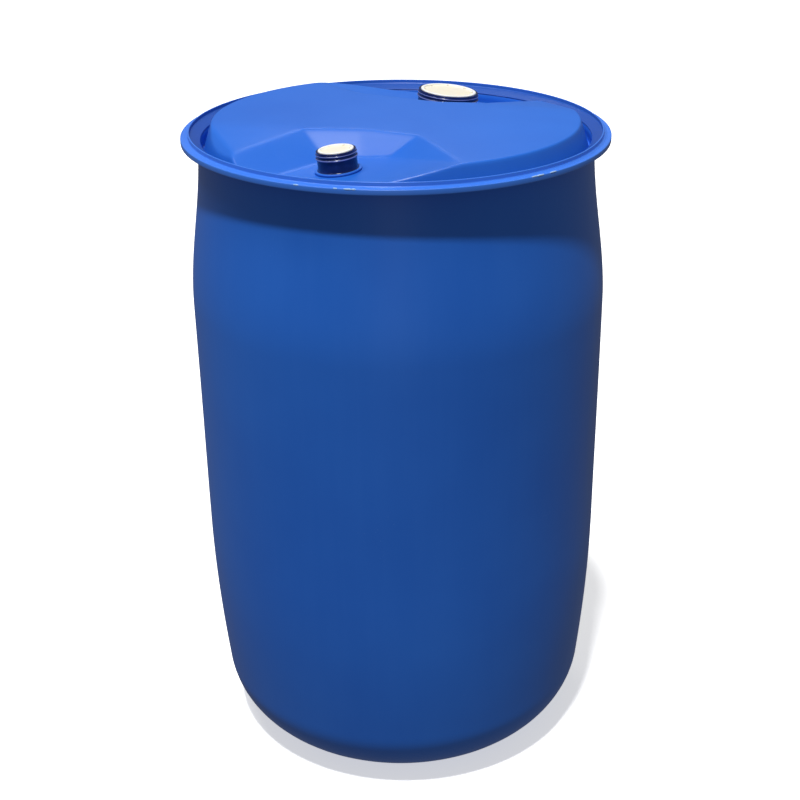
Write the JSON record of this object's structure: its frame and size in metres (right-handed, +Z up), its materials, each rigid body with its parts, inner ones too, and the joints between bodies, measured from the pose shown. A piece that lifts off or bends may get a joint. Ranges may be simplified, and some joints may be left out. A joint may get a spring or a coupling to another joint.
{
  "type": "plastic drum",
  "caption": "Hollow tight-head plastic drum with an outward carrying ring, a raised faceted head, a large fill neck and a small vent neck, each closed by a gasketed screw plug",
  "frame": {"origin": "on the floor at the middle of the base", "axes": "+Z up along the drum's axis, -Y is the side with the vent neck, +X to the right seen from that side"},
  "size_m": [0.581, 0.581, 0.9337],
  "materials": {
    "body": "semi-matt blow-moulded polyethylene",
    "ring": "satin moulded polyethylene",
    "neck": "smooth dark polyethylene",
    "plug": "unpigmented polyethylene",
    "gasket": "matt rubber"
  },
  "bodies": {
    "drum": {"drum_body": "body", "carrying_ring": "ring", "fill_neck": "neck", "vent_neck": "neck"},
    "fill_gasket": {"fill_plug_gasket": "gasket"},
    "fill_plug": {"fill_plug": "plug"},
    "vent_gasket": {"vent_plug_gasket": "gasket"},
    "vent_plug": {"vent_plug": "plug"}
  },
  "joints": [
    {"name": "fill_plug_lift", "type": "slide", "parent": "drum", "child": "fill_gasket", "axis": [0.0958, 0, 0.9954], "range_m": [0, 0.021]},
    {"name": "fill_plug_turn", "type": "hinge", "parent": "fill_gasket", "child": "fill_plug", "pos_m": [0.0738, 0.162, 0.9015], "axis": [0.0958, 0, 0.9954], "range_deg": [0, 1262]},
    {"name": "vent_plug_lift", "type": "slide", "parent": "drum", "child": "vent_gasket", "axis": [-0.0958, 0, 0.9954], "range_m": [0, 0.017]},
    {"name": "vent_plug_turn", "type": "hinge", "parent": "vent_gasket", "child": "vent_plug", "pos_m": [-0.0738, -0.162, 0.9015], "axis": [-0.0958, 0, 0.9954], "range_deg": [0, 1532]}
  ],
  "couplings": [
    {"joint": "fill_plug_turn", "follows": "fill_plug_lift", "rad_per_m": 1047.2},
    {"joint": "vent_plug_turn", "follows": "vent_plug_lift", "rad_per_m": 1570.8}
  ]
}
